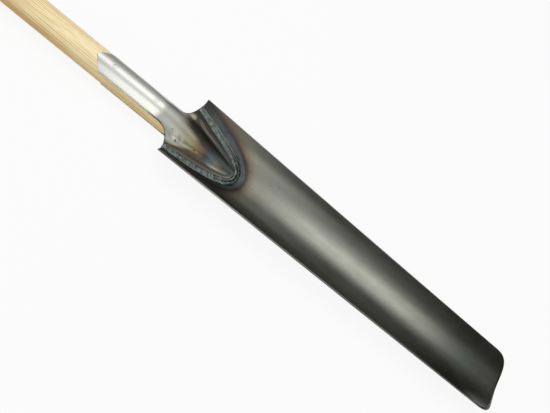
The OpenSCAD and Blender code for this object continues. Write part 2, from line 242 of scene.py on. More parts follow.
class Section:
    """Cross-sections of a pressed sheet, one per station: a round bulge, a turn and a wing on the trough."""

    def __init__(self, facing: Facing, x: Array | float) -> None:
        """Joins a sheet's bulge to the trough, with the turn between them.

        Args:
            facing: The front strap with its tongue, or the blade with its back strap.
            x: Stations along the tool.
        """
        x = np.atleast_1d(np.asarray(x, float))
        if facing is Facing.FRONT:
            share = fall(x, -SIZES.throat_reach, SIZES.tongue_length)
            strap_r, floor_z = SIZES.strap_r, SIZES.trough_z - SIZES.wing_r
            self.turn_r, self.wing_r = SIZES.valley_r, SIZES.wing_r
        else:
            share = fall(x, SIZES.heel_reach, SIZES.back_fade)
            strap_r, floor_z = SIZES.seat_r, -SIZES.trough_drop
            self.turn_r, self.wing_r = SIZES.shoulder_r, SIZES.trough_r
        self.sign = sign = facing.value
        self.bulge_r = strap_r + (SIZES.fade_r - strap_r) * share
        self.ridge_z = sign * strap_r + (floor_z - sign * strap_r) * share
        self.bulge_z = self.ridge_z - sign * self.bulge_r
        near, far, trough_z = self.bulge_r + self.turn_r, self.wing_r - sign * self.turn_r, SIZES.trough_z
        gap = trough_z - self.bulge_z
        self.turn_z = (near ** 2 - far ** 2 + trough_z ** 2 - self.bulge_z ** 2) / (2 * gap)
        drop = self.turn_z - self.bulge_z
        self.turn_y = np.sqrt(np.maximum(0, near ** 2 - drop ** 2))
        self.crest = np.arctan2(self.turn_y, sign * drop)
        self.spread = np.arctan2(self.turn_y, trough_z - self.turn_z)
        self.bulge_end = self.bulge_r * self.crest
        self.turn_end = self.bulge_end + self.turn_r * (self.crest + sign * self.spread)

    def length_at(self, angle: Array | float) -> Array:
        """Length from the centre line out to an angle on the wing, in radians."""
        return self.turn_end + self.wing_r * (angle - self.spread)

    def points(self, lengths: Array) -> tuple[Array, Array, Array]:
        """Finds the upper face's points.

        Args:
            lengths: Signed lengths from the centre line, one row per station.

        Returns:
            y, z and the tilt of the upward normal towards +Y.
        """
        sign, run = self.sign, np.abs(lengths)
        side = np.where(lengths < 0, -1.0, 1.0)
        bulge_r, bulge_z, turn_y, turn_z, bulge_end, turn_end, crest, spread = (value[:, None] for value in (
            self.bulge_r, self.bulge_z, self.turn_y, self.turn_z, self.bulge_end, self.turn_end, self.crest,
            self.spread))
        zones = [run <= bulge_end, run <= turn_end]
        bulge, wing = run / bulge_r, spread + (run - turn_end) / self.wing_r
        turn = sign * (crest - (run - bulge_end) / self.turn_r)
        y = np.select(zones, [bulge_r * np.sin(bulge), turn_y - sign * self.turn_r * np.sin(turn)],
                      self.wing_r * np.sin(wing))
        z = np.select(zones, [bulge_z + sign * bulge_r * np.cos(bulge),
                              turn_z - sign * self.turn_r * np.cos(turn)],
                      SIZES.trough_z - self.wing_r * np.cos(wing))
        return side * y, z, side * np.select(zones, [sign * bulge, turn], -wing)


def point_half_w(x: Array | float, reach: float, full: float) -> Array:
    """Half width in plan of a strap's pointed end."""
    share = np.minimum(1.0, (x + reach) / SIZES.point_length)
    return SIZES.point_w / 2 + (full - SIZES.point_w / 2) * share


def shoulder_x(angle: Array | float) -> Array:
    """x of the hollow shoulder curve for an angle of its quarter round, in radians."""
    return -SIZES.shoulder_length * (1 - np.sin(angle))


def shoulder_edge(facing: Facing, angle: Array | float) -> Array:
    """Length along a sheet's section out to that curve, for the same angle."""
    horn = Section(facing, shoulder_x(angle)).length_at(SIZES.rim_angle)
    return horn - (horn - math.prod(SIZES.strap(facing)[1:])) * np.cos(angle)


class TongueEdge:
    """Outline of the tongue on the flattened trough, from one horn round the tip to the other."""

    strays: tuple[tuple[float, ...], ...] = ((-6.0, 8.0, 26.0, 55.0, 78.0), (0.0, 1.6, 2.8, 2.4, 0.0))
    steps: int = 360

    def __init__(self) -> None:
        """Finds where the shoulder curve meets the tongue's corner."""
        strap_edge = SIZES.strap_r * math.radians(SIZES.front_wrap)
        horn = float(Section(Facing.FRONT, 0.0).length_at(SIZES.rim_angle)[0])
        bare = SIZES.wing_r * (SIZES.rim_angle - SIZES.tongue_half_w / SIZES.trough_r)
        self.corner_turn = math.acos(bare / (horn - strap_edge))
        self.corner_x = float(shoulder_x(self.corner_turn))
        self.run = SIZES.tongue_length - self.corner_x

    def share(self, x: Array) -> Array:
        """How far along the tongue x lies, of 1 at the tip."""
        return np.clip((x - self.corner_x) / self.run, 0, 1)

    def half(self, x: Array) -> Array:
        """Half width along the trough at x."""
        side = 1 - self.share(x) ** SIZES.tongue_side_power
        return SIZES.tongue_half_w * side ** (1 / SIZES.tongue_tip_power)

    def lean(self, x: Array) -> Array:
        """How far the outline's middle lies towards +Y at x."""
        return SIZES.tongue_offset * self.share(x)

    def point(self, t: Array) -> Array:
        """Points [x, arc] for t from -1 at the -Y horn to 1 at the +Y horn."""
        x = self.corner_x + self.run * np.cos(QUARTER * t)
        return np.stack([x, np.sign(t) * self.half(x) + self.lean(x)], axis=-1)

    def drift(self, x: Array, arc: Array) -> Array:
        """How far the welder's hand strayed onto the tongue, on the +Y side."""
        return np.where(arc > 0, np.interp(x, *self.strays), 0.0)

    def distance(self, x: Array, arc: Array) -> Array:
        """Finds how far flattened points lie from the outline.

        Args:
            x: Their places along the tool.
            arc: Their places along the trough's arc.

        Returns:
            The distances, in millimetres.
        """
        line = self.point(np.linspace(-1, 1, self.steps))
        here = np.stack([x.ravel(), arc.ravel()], axis=-1)
        best = np.full(len(here), np.inf)
        for start, end in zip(line[:-1], line[1:]):
            along = end - start
            share = np.clip((here - start) @ along / max(along @ along, 1e-12), 0, 1)
            best = np.minimum(best, np.hypot(*(here - start - share[:, None] * along).T))
        return best.reshape(x.shape)


TONGUE = TongueEdge()


def trough_point(x: Array, arc: Array, height: Array) -> Array:
    """Points above the trough at x, a length along its arc and a height over it."""
    angle, reach = arc / SIZES.trough_r, SIZES.trough_r - height
    return np.stack([x, reach * np.sin(angle), SIZES.trough_z - reach * np.cos(angle)], axis=-1)


def grid_faces(rows: int, cols: int, closed: bool) -> Faces:
    """Faces of a grid of points, row by row, where each row may join up with itself."""
    return [(i * cols + j, i * cols + (j + 1) % cols, (i + 1) * cols + (j + 1) % cols, (i + 1) * cols + j)
            for i in range(rows - 1) for j in range(cols if closed else cols - 1)]


def ring_tube(rings: Array) -> Shape:
    """Points and faces of a closed bar through rings of points, with a cap on each end."""
    rows, cols = rings.shape[:2]
    return rings.reshape(-1, 3), [*grid_faces(rows, cols, True), tuple(range(cols))[::-1],
                                  tuple(range((rows - 1) * cols, rows * cols))]


def joined(first: Shape, second: Shape) -> Shape:
    """Two shapes as one, each with its own points."""
    start = len(first[0])
    return np.vstack([first[0], second[0]]), first[1] + [tuple(start + i for i in face) for face in second[1]]


def link(name: str, data: bpy.types.ID) -> bpy.types.Object:
    """Adds an object to the scene.

    Args:
        name: Its name.
        data: Its mesh, lamp or camera.

    Returns:
        The object.
    """
    made = bpy.data.objects.new(name, data)
    bpy.context.scene.collection.objects.link(made)
    return made


def make_object(name: str, shape: Shape, crease: float, **values: Array) -> bpy.types.Object:
    """Makes a smooth-shaded mesh object from points about the shaft's axis.

    Args:
        name: Name of the piece.
        shape: Points in millimetres, and faces as indices.
        crease: Angle in degrees above which an edge stays sharp.
        values: Numbers to store at each point, for the finish to read.

    Returns:
        The linked object.
    """
    mesh = bpy.data.meshes.new(name)
    mesh.from_pydata(DATUM.place(shape[0]).tolist(), [], shape[1])
    work = bmesh.new()
    work.from_mesh(mesh)
    bmesh.ops.recalc_face_normals(work, faces=work.faces)
    work.to_mesh(mesh)
    work.free()
    mesh.polygons.foreach_set("use_smooth", [True] * len(mesh.polygons))
    mesh.set_sharp_from_angle(angle=math.radians(crease))
    for key, numbers in values.items():
        attribute = mesh.attributes.new(key, "FLOAT", "POINT")
        attribute.data.foreach_set("value", np.ascontiguousarray(numbers.ravel(), dtype=np.float32))
    return link(name, mesh)


def settle(piece: bpy.types.Object, material: Material, slot: str, *nodes: str) -> None:
    """Gives a piece its finish and its body, and hides the nodes that it stands for.

    Args:
        piece: The piece.
        material: Its finish.
        slot: Not used.
        nodes: The nodes.
    """
    piece.data.materials.clear()
    piece.data.materials.append(material)
    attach(piece, BODY)
    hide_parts(*nodes)
    LOG.info("%s: %d faces", piece.name, len(piece.data.polygons))


class Graph:
    """A short way to write the nodes of a material or a world."""

    def __init__(self, block: Material | bpy.types.World) -> None:
        """Starts from the nodes that a new block has."""
        block.use_nodes = True
        self.block, self.nodes, self.links = block, block.node_tree.nodes, block.node_tree.links

    def feed(self, socket: Socket, value: Value) -> None:
        """Links an input to an output, or sets it to a constant.

        Args:
            socket: The input.
            value: An output, a number, a vector, or a colour, which gets its alpha here.
        """
        if isinstance(value, Socket):
            self.links.new(value, socket)
        elif isinstance(value, tuple) and len(value) < len(socket.default_value):
            socket.default_value = (*value, 1.0)
        else:
            socket.default_value = value

    def node(self, kind: str, inputs: dict[Key, Value], output: Key = 0, **settings: str) -> Socket:
        """Adds a node.

        Args:
            kind: Its type, less the ShaderNode with which each type's name starts.
            inputs: What goes into its inputs, by number or name.
            output: Which output is wanted.
            settings: Its own settings.

        Returns:
            That output.
        """
        node = self.nodes.new("ShaderNode" + kind)
        for name, setting in settings.items():
            setattr(node, name, setting)
        for key, value in inputs.items():
            self.feed(node.inputs[key], value)
        return node.outputs[output]

    def place(self) -> Socket:
        """The point's place in the frame, in metres."""
        return self.node("TexCoord", {}, "Object")

    def gap(self, vector: Socket, point: Triple) -> Socket:
        """Distance of a vector from a point."""
        return self.node("VectorMath", {0: vector, 1: point}, "Value", operation="DISTANCE")

    def math(self, operation: str, first: Value, second: Value = 0.0) -> Socket:
        """One sum on numbers."""
        return self.node("Math", {0: first, 1: second}, operation=operation)

    def chain(self, operation: str, *values: Value) -> Socket:
        """The same sum on all of some numbers, in order."""
        return functools.reduce(functools.partial(self.math, operation), values)

    def total(self, *terms: Value) -> Socket:
        """Numbers added up."""
        return self.chain("ADD", *terms)

    def product(self, *factors: Value) -> Socket:
        """Numbers multiplied."""
        return self.chain("MULTIPLY", *factors)

    def swing(self, noise: Socket, reach: Value) -> Socket:
        """A noise of 0 to 1 as a swing to both sides of nothing."""
        return self.product(self.math("SUBTRACT", noise, 0.5), reach)

    def off(self, value: Socket, middle: Value) -> Socket:
        """How far a number lies from a middle."""
        return self.math("ABSOLUTE", self.math("SUBTRACT", value, middle))

    def span(self, value: Socket, low: float, high: float, at_low: float = 0, at_high: float = 1) -> Socket:
        """A number moved smoothly from one range to another and held at its ends."""
        inputs = dict(enumerate((value, low, high, at_low, at_high)))
        return self.node("MapRange", inputs, interpolation_type="SMOOTHSTEP")

    def noise(self, vector: Socket, scales: Triple, detail: float, rough: float) -> Socket:
        """Soft noise of 0 to 1, with a scale along each axis."""
        inputs = {"Vector": self.node("VectorMath", {0: vector, 1: scales}, operation="MULTIPLY"),
                  "Scale": 1.0, "Detail": detail, "Roughness": rough}
        return self.node("TexNoise", inputs, "Fac")

    def mix(self, share: Value, first: Value, second: Value) -> Socket:
        """Two colours mixed."""
        return self.node("Mix", {0: share, 6: first, 7: second}, 2, data_type="RGBA")

    def bump(self, height: Socket, depth: float, strength: float) -> Socket:
        """A normal for a height of 0 to 1 times a depth in metres."""
        return self.node("Bump", {"Strength": strength, "Distance": depth, "Height": height})

    def measures(self, stored: tuple[str, ...], noises: Noises, spots: Spots = ()) -> Measures:
        """Gathers numbers at each point of a sheet or a bead.

        Args:
            stored: What the mesh stores besides the run and the span.
            noises: Noises over the flattened face.
            spots: Groups of round spots on it, each giving the distance from the nearest one in its radii.

        Returns:
            The numbers by name.
        """
        found = {name: self.node("Attribute", {}, "Fac", attribute_name=name)
                 for name in ("run", "span", *stored)}
        flat = self.node("CombineXYZ", {0: found["run"], 1: found["span"]})
        for name, *noise in noises:
            found[name] = self.noise(flat, *noise)
        for name, places in spots:
            gaps = (self.math("DIVIDE", self.gap(flat, (x, arc, 0.0)), r) for x, arc, r in places)
            found[name] = self.chain("MINIMUM", *gaps)
        return found

    def coats(self, body: Value, measures: Measures, *table: Coat) -> Socket:
        """Lays coats of colour over one another.

        Args:
            body: The lowest colour.
            measures: Numbers by name.
            table: Each coat's colour, and the bands whose product is its share.

        Returns:
            The colour.
        """
        for colour, *bands in table:
            share = self.product(*(self.span(measures[name], *numbers) for name, *numbers in bands))
            body = self.mix(share, body, colour)
        return body

    def ramp(self, value: Socket, stops: Stops, reach: float | None = None) -> Socket:
        """A colour that changes with a number.

        Args:
            value: The number.
            stops: Numbers and their colours, rising.
            reach: The number at the ramp's end, where it isn't the last stop.

        Returns:
            The colour.
        """
        node = self.nodes.new("ShaderNodeValToRGB")
        elements = node.color_ramp.elements
        low = min(0.0, stops[0][0])
        length = (stops[-1][0] if reach is None else reach) - low
        for number, (at, colour) in enumerate(stops):
            share = (at - low) / length
            stop = elements[number] if number < 2 else elements.new(share)
            stop.position = share
            stop.color = (*colour, 1.0)
        self.feed(node.inputs[0], self.math("DIVIDE", self.math("SUBTRACT", value, low), length))
        return node.outputs[0]

    def finish(self, **values: Value) -> Material:
        """Feeds the Principled shader.

        Args:
            values: What its sockets get, by their names in lower case with _ for a space.

        Returns:
            The material.
        """
        for socket in self.nodes["Principled BSDF"].inputs:
            name = socket.name.lower().replace(" ", "_")
            if name in values:
                self.feed(socket, values[name])
        return self.block


@dataclass(frozen=True)
class BladeSteel:
    """Bare satin sheet steel, heat tinted beside the weld and bright on its cut edges, with painted shade on
    its walls, near the tongue, towards the tip and on edges near the shoulders.
    """

    grey: Colour = (0.236, 0.242, 0.207)
    streak: Colour = (0.195, 0.200, 0.170)
    speck: Colour = (0.06, 0.06, 0.055)
    cut: Colour = (0.34, 0.34, 0.315)
    # Painted shade for the side walls, the middle near the tongue, the tip end and the edges near the
    # shoulders.
    painted_shade: Colour = (0.035, 0.034, 0.033)
    horn: Colour = (0.024, 0.022, 0.025)
    toe: Colour = (0.024, 0.030, 0.027)
    oiled: Colour = (0.115, 0.165, 0.140)
    tints: Stops = ((0.0, (0.016, 0.019, 0.017)), (1.0, (0.02, 0.023, 0.021)), (1.9, (0.058, 0.068, 0.066)),
                    (5.6, (0.064, 0.075, 0.077)), (7.4, (0.036, 0.032, 0.035)), (10.0, (0.066, 0.049, 0.038)),
                    (13.0, (0.125, 0.101, 0.075)), (17.0, (0.168, 0.15, 0.112)), (23.0, (0.19, 0.19, 0.158)),
                    (60.0, (0.193, 0.196, 0.172)))
    heat_reach: float = 110.0
    waver: tuple[float, ...] = (0.0, 30.0, 1.5, 12.0)
    noises: Noises = (("streaks", (0.004, 0.09, 1.0), 5.0, 0.6), ("mottle", (0.03, 0.05, 1.0), 6.0, 0.65),
                      ("ruffle", (0.16, 0.30, 1.0), 4.0, 0.65), ("specks", (0.55, 0.55, 1.0), 2.0, 0.5),
                      ("grit", (0.9, 2.2, 1.0), 3.0, 0.6))
    spots: Spots = (("oil", ((458.0, 3.0, 19.0),)), ("pits", (
        (98.0, 29.4, 1.0), (95.0, 17.2, 1.2), (100.0, 16.2, 0.8), (125.5, 19.2, 1.1), (135.0, 25.3, 0.8),
        (111.0, 1.0, 1.0), (122.0, 1.0, 0.8), (162.0, -4.0, 1.0), (223.0, -17.2, 1.1))))
    roughness: Pair = (0.31, 0.37)
    grit: Pair = (0.00003, 0.35)

    def build(self) -> Material:
        """Makes the material.

        Returns:
            The material.
        """
        g = Graph(bpy.data.materials.new("blade_steel"))
        m = g.measures(("weld_gap", "edge_gap", "rim"), self.noises, self.spots)
        m["warmth"] = g.total(m["weld_gap"], g.swing(m["mottle"], g.span(m["weld_gap"], *self.waver)))
        bare = g.coats(self.streak, m, (self.grey, ("streaks", 0.3, 0.7)),
                       (self.streak, ("mottle", 0.35, 0.75, 0.0, 0.35)))
        # Cut edges, with painted shade on them near the shoulders.
        cut = g.coats(self.painted_shade, m, (self.cut, ("run", 10.0, 110.0, 0.15, 1.0)))
        body = g.coats(
            g.ramp(m["warmth"], self.tints, self.heat_reach), m,
            (bare, ("warmth", 25.0, self.heat_reach)),
            (self.toe, ("ruffle", 0.42, 0.68, 0.0, 0.6), ("warmth", 6.0, 12.0, 1.0, 0.0)),
            (self.horn, ("run", 3.0, 26.0, 0.92, 0.0), ("warmth", 8.0, 18.0, 1.0, 0.0)),
            # Painted shade: darker side walls, a dimmer middle near the tongue and a darker tip end, where
            # the steel reflects less light.
            (self.painted_shade, ("span", -34.0, -21.0, 0.52, 0.0)),
            (self.painted_shade, ("span", 31.0, 43.0, 0.0, 0.5), ("run", 200.0, 330.0, 1.0, 0.0)),
            (self.painted_shade, ("span", -12.0, -2.0), ("span", 14.0, 24.0, 1.0, 0.0),
             ("run", 115.0, 195.0, 0.22, 0.0)),
            (self.painted_shade, ("run", 385.0, 445.0, 0.0, 0.3)),
            (self.oiled, ("oil", 0.3, 1.0, 0.5, 0.0)),
            (self.speck, ("specks", 0.67, 0.75, 0.0, 0.6)),
            (self.speck, ("pits", 0.3, 1.3, 0.6, 0.0)),
            (self.cut, ("edge_gap", 0.6, 1.8, 0.7, 0.0), ("run", 478.0, 492.0)),
            (cut, ("rim", 0.4, 0.9)))
        rough = g.span(m["mottle"], 0.3, 0.7, *self.roughness)
        return g.finish(base_color=body, metallic=1.0, roughness=rough, normal=g.bump(m["grit"], *self.grit))


@dataclass(frozen=True)
class StrapSteel:
    """Steel that is polished on the strap and heat tinted along the tongue, with painted shade on its +Y
    flank, creases and edges, and painted light on its -Y flank and +Y side.
    """

    bright: Colour = (0.475, 0.48, 0.445)
    brushed: Colour = (0.30, 0.30, 0.27)
    # Painted reflection of the bright floor along the strap's +Y side.
    limb: Colour = (0.80, 0.80, 0.77)
    pit: Colour = (0.03, 0.025, 0.02)
    cut: Colour = (0.10, 0.098, 0.09)
    # Painted shade for the crease, the gap beside the +Y bead, a band on the +Y side and the edges at the
    # throat.
    painted_shade: Colour = (0.03, 0.029, 0.027)
    valley: Colour = (0.105, 0.094, 0.078)
    glint: Colour = (0.97, 0.94, 0.84)
    gleam: Colour = (0.95, 0.92, 0.78)
    bloom: Colour = (0.36, 0.33, 0.27)
    tints: Stops = ((-12.0, (0.29, 0.297, 0.262)), (0.0, (0.30, 0.302, 0.255)), (10.0, (0.30, 0.287, 0.225)),
                    (20.0, (0.285, 0.275, 0.163)), (29.0, (0.25, 0.185, 0.09)), (36.0, (0.19, 0.14, 0.10)),
                    (41.0, (0.14, 0.115, 0.125)), (47.0, (0.16, 0.20, 0.23)), (52.0, (0.21, 0.27, 0.255)),
                    (58.0, (0.34, 0.34, 0.26)), (66.0, (0.27, 0.235, 0.17)), (74.0, (0.17, 0.21, 0.185)),
                    (82.0, (0.09, 0.105, 0.10)))
    # Heat tints of the wing by weld gap, whose dark stops are also painted shade where the wing turns into
    # the bulge.
    wing: Stops = ((0.0, (0.10, 0.115, 0.105)), (0.09, (0.20, 0.205, 0.187)), (0.20, (0.145, 0.130, 0.112)),
                   (0.26, (0.088, 0.074, 0.06)), (0.31, (0.08, 0.066, 0.052)), (0.36, (0.08, 0.064, 0.047)),
                   (0.46, (0.10, 0.08, 0.055)))
    # Painted shade on the +Y flank, which faces away from the lamps, in dark heat-tint colours along the
    # tongue.
    painted_flank_shade: Stops = ((0.0, (0.07, 0.055, 0.038)), (12.0, (0.04, 0.032, 0.026)), (28.0, (0.026, 0.024, 0.023)),
                   (50.0, (0.035, 0.037, 0.040)), (75.0, (0.050, 0.062, 0.060)))
    noises: Noises = (("cloud", (0.05, 0.09, 1.0), 5.0, 0.6), ("brush", (0.02, 1.6, 1.0), 4.0, 0.6))
    spots: Spots = (("glint", ((1.0, -19.0, 7.0),)), ("gleam", ((9.0, -16.5, 4.2),)),
                    ("bloom", ((-1.5, 28.0, 6.0),)),
                    ("pits", ((-6.5, -14.5, 0.9), (3.5, -23.0, 1.8), (27.5, -15.0, 1.2))))
    crease: Triple = (-26.9, 0.286, 3.6)
    # Painted light: how much brighter the tints are painted on the -Y flank of the bulge, and how bright at
    # most.
    lift: float = 1.9
    painted_light_limit: float = 0.9
    polish: Pair = (-36.0, -25.0)
    cloud_reaches: Triple = (16.0, 9.0, 4.0)
    roughness: Triple = (0.26, 0.42, 0.55)
    brush_rough: float = 0.05
    brush_bump: Pair = (0.00002, 0.15)

    def measures(self, g: Graph) -> Measures:
        """Gathers the numbers that this finish goes by.

        Args:
            g: The material's nodes.

        Returns:
            The numbers by name.
        """
        m = g.measures(("weld_gap", "edge_gap", "rim"), self.noises, self.spots)
        run, across = m["run"], m["span"]
        start, slope, _ = self.crease
        polish, place, edge = (g.swing(m["cloud"], reach) for reach in self.cloud_reaches)
        m["dull"] = g.span(g.total(run, polish), *self.polish)
        m["place"] = g.total(run, place)
        m["inner"] = g.total(m["weld_gap"], g.span(run, 10.0, 26.0, 0.0, -0.09),
                             g.span(run, 40.0, 56.0, 0.0, 0.12))
        m["crease"] = g.off(across, g.total(g.product(run, slope), start))
        # Where the painted shade on the +Y flank begins, across and along the tongue.
        m["soot_side"] = g.total(across, edge, g.span(run, 5.0, 40.0, 0.0, 5.2))
        m["soot_start"] = g.total(m["place"], g.span(across, 5.0, 12.0, 0.0, 6.0))
        # Distance from a band on the +Y side of the strap, for painted shade.
        m["band"] = g.off(across, g.span(run, -60.0, -25.0, 11.6, 9.0))
        # Place across the strap's +Y side, for the painted reflection.
        m["limb"] = g.total(across, g.span(run, -60.0, -25.0, 0.0, 1.8))
        return m

    def build(self) -> Material:
        """Makes the material.

        Returns:
            The material.
        """
        g = Graph(bpy.data.materials.new("strap_steel"))
        m = self.measures(g)
        # Painted light: brighter copies of the tints on the -Y flank of the bulge.
        painted_lit_tints = tuple((at, tuple(min(self.painted_light_limit, self.lift * part) for part in colour))
                       for at, colour in self.tints)
        tint_and_painted_light = g.coats(g.ramp(m["place"], self.tints), m, (
            g.ramp(m["place"], painted_lit_tints), ("span", -24.0, -18.0), ("span", -13.0, -6.0, 1.0, 0.0),
            ("run", -24.0, 6.0), ("run", 30.0, 44.0, 1.0, 0.0)))
        # Painted shade for the +Y flank, lighter in the valley beside the bead.
        painted_flank_shade = g.coats(g.ramp(m["place"], self.painted_flank_shade), m, (
            self.valley, ("weld_gap", 0.11, 0.18), ("weld_gap", 0.22, 0.32, 1.0, 0.0)))
        # Cut edges, with painted shade on them towards the throat.
        cut = g.coats(self.cut, m, (self.painted_shade, ("run", -45.0, -30.0)))
        worked = g.coats(
            g.ramp(m["weld_gap"], self.wing), m,
            (tint_and_painted_light, ("inner", 0.31, 0.49)),
            # Painted shade in the crease along the -Y side of the bulge.
            (self.painted_shade, ("crease", 0.8, self.crease[2], 0.6, 0.0), ("run", 4.0, 22.0)),
            (painted_flank_shade, ("soot_side", -3.5, 4.0), ("soot_start", -9.0, 9.0, 0.0, 0.94)),
            # Painted shade in the gap beside the start of the +Y bead.
            (self.painted_shade, ("span", 29.0, 33.0), ("run", 10.0, 20.0, 0.9, 0.0)),
            # Painted highlights on the -Y flank of the bulge.
            (self.glint, ("glint", 0.2, 1.0, 0.75, 0.0)),
            (self.gleam, ("gleam", 0.2, 1.0, 0.75, 0.0)),
            (self.bloom, ("bloom", 0.2, 1.0, 0.75, 0.0)))
        body = g.coats(
            g.mix(m["dull"], self.bright, worked), m,
            # Painted shade: a dark band along the strap's +Y side.
            (self.painted_shade, ("band", 0.6, 3.2, 0.45, 0.0), ("run", -14.0, -2.0, 1.0, 0.0)),
            # Painted reflection of the floor along the strap's +Y side.
            (self.limb, ("limb", 13.5, 17.0), ("run", -70.0, -38.0, 0.2, 0.9),
             ("run", -20.0, -11.0, 1.0, 0.0)),
            # Painted shade: a dark line along the sheet's edges from the neck on, in the gap beside the wood.
            (self.painted_shade, ("edge_gap", 0.9, 2.2, 0.9, 0.0), ("run", -48.0, -32.0)),
            (self.brushed, ("brush", 0.35, 0.75, 0.0, 0.07)),
            (self.pit, ("pits", 0.3, 1.3, 0.85, 0.0)),
            (cut, ("rim", 0.4, 0.9)))
        polished, satin, heated = self.roughness
        rough = g.total(g.span(m["dull"], 0.0, 1.0, polished, satin), g.swing(m["brush"], self.brush_rough),
                        g.span(m["run"], -25.0, 5.0, 0.0, heated - satin))
        normal = g.bump(m["brush"], *self.brush_bump)
        return g.finish(base_color=body, metallic=1.0, roughness=rough, normal=normal)


@dataclass(frozen=True)
class WeldMetal:
    """Grey-green weld metal, streaked along its run, with bright specks and dark slag in the hollows."""

    crest: Colour = (0.145, 0.161, 0.148)
    body: Colour = (0.068, 0.080, 0.072)
    slag: Colour = (0.024, 0.028, 0.024)
    bead: Colour = (0.62, 0.63, 0.60)
    levels: Triple = (0.0, 0.35, 0.8)
    noises: Noises = (("streak", (0.10, 0.75, 1.0), 4.0, 0.6), ("specks", (0.5, 0.7, 1.0), 2.0, 0.5))
    uneven: Pair = (1.8, 0.9)
    patch_scale: float = 420.0
    grain_scale: float = 1500.0
    roughness: Pair = (0.38, 0.52)
    grain: Pair = (0.00012, 0.6)

    def build(self) -> Material:
        """Makes the material.

        Returns:
            The material.
        """
        g = Graph(bpy.data.materials.new("weld_metal"))
        m, place = g.measures(("rise",), self.noises), g.place()
        patch = g.noise(place, (self.patch_scale,) * 3, 4.0, 0.6)
        grain = g.noise(place, (self.grain_scale,) * 3, 3.0, 0.6)
        uneven = g.total(g.swing(m["streak"], self.uneven[0]), g.swing(patch, self.uneven[1]))
        levels = tuple(zip(self.levels, (self.slag, self.body, self.crest)))
        body = g.coats(g.ramp(g.total(m["rise"], uneven), levels), m, (self.bead, ("specks", 0.67, 0.75)))
        return g.finish(base_color=body, metallic=1.0, roughness=g.span(patch, 0.3, 0.7, *self.roughness),
                        normal=g.bump(grain, *self.grain))


@dataclass(frozen=True)
class Ash:
    """Ash with growth rings that run along one axis, open pores and a thin seal, and a given tan tone, partly
    painted shade on the -Y side.
    """

    name: str
    pale: Colour
    mid: Colour
    line: Colour
    along: int
    heart: Triple
    ring: float = 0.0019
    # A tan tone further up the shaft and on its -Y side, where it is partly the wood's own colour and partly
    # painted shade.
    tan: Colour | None = None
    tan_lean: Pair = (0.885, 0.465)
    tan_reach: Pair = (-0.007, 0.0045)
    tan_run: Pair = (-0.150, -0.100)
    tan_ease: Pair = (-0.105, -0.045)
    tan_waver: float = 0.010
    lean: float = 0.012
    warp: float = 0.007
    roughness: float = 0.5
    sheen: float = 0.35
    pores: Pair = (0.00008, 0.4)
    # Each noise: its name, its scales across and along the grain, its detail and its roughness.
    noises: tuple[tuple[str, float, float, float, float], ...] = (
        ("warp", 14.0, 2.2, 3.0, 0.5), ("streaks", 420.0, 9.0, 4.0, 0.65), ("pores", 800.0, 28.0, 3.0, 0.6),
        ("tone", 8.4, 1.32, 2.0, 0.5))

    def build(self) -> Material:
        """Makes the material.

        Returns:
            The material.
        """
        g = Graph(bpy.data.materials.new(self.name))
        place, m = g.place(), {}
        for name, across, along, *rest in self.noises:
            scales = tuple(along if axis == self.along else across for axis in range(3))
            m[name] = g.noise(place, scales, *rest)
        parts = [g.node("SeparateXYZ", {0: place}, axis) for axis in range(3)]
        offsets = [g.math("SUBTRACT", part, at) for part, at in zip(parts, self.heart)]
        leaning = g.product(offsets.pop(self.along), self.lean)
        first, second = g.total(offsets[0], leaning), offsets[1]
        reach = g.math("SQRT", g.total(g.product(first, first), g.product(second, second)))
        bent = g.total(reach, g.product(m["warp"], self.warp))
        m["phase"] = g.math("FRACT", g.math("DIVIDE", bent, self.ring))
        body = g.coats(
            self.mid, m,
            (self.pale, ("streaks", 0.35, 0.65)),
            (self.line, ("phase", 0.0, 0.5, 1.0, 0.0), ("streaks", 0.42, 0.6, 1.0, 0.3)),
            (self.line, ("pores", 0.50, 0.66), ("phase", 0.05, 0.5, 0.75, 0.35)),
            (self.mid, ("tone", 0.3, 0.7, 0.0, 0.35)))
        if self.tan:
            sides = [g.product(part, share) for part, share in zip(parts[1:], self.tan_lean)]
            m["run"], m["side"] = parts[0], g.total(*sides, g.swing(m["streaks"], self.tan_waver))
            # Tan further up the shaft, and on the -Y side as the wood's own colour and painted shade.
            body = g.coats(
                body, m, (self.tan, ("run", *self.tan_run, 0.3, 0.0)),
                (self.tan, ("side", *self.tan_reach, 1.0, 0.0), ("run", *self.tan_ease, 0.8, 0.4)))
        return g.finish(base_color=body, roughness=self.roughness, specular_ior_level=self.sheen,
                        normal=g.bump(m["pores"], *self.pores))


@dataclass(frozen=True)
class PlainSteel:
    """Ground or drawn steel of a small fastener, with a dark punch mark where a place for one is given."""

    name: str
    colour: Colour
    roughness: float
    punch: Triple | None = None
    dark_share: float = 0.7
    mark: Colour = (0.06, 0.06, 0.055)
    grit_scale: float = 1800.0
    grit: Pair = (0.00003, 0.4)

    def build(self) -> Material:
        """Makes the material.

        Returns:
            The material.
        """
        g = Graph(bpy.data.materials.new(self.name))
        m = {"grit": g.noise(g.place(), (self.grit_scale,) * 3, 3.0, 0.6)}
        dark = tuple(self.dark_share * part for part in self.colour)
        body = g.coats(dark, m, (self.colour, ("grit", 0.35, 0.7)))
        if self.punch:
            m["punch"] = g.gap(g.place(), tuple(DATUM.place(self.punch)))
            body = g.coats(body, m, (self.mark, ("punch", 0.4 * MM, 1.2 * MM, 0.85, 0.0)))
        return g.finish(base_color=body, metallic=1.0, roughness=self.roughness,
                        normal=g.bump(m["grit"], *self.grit))


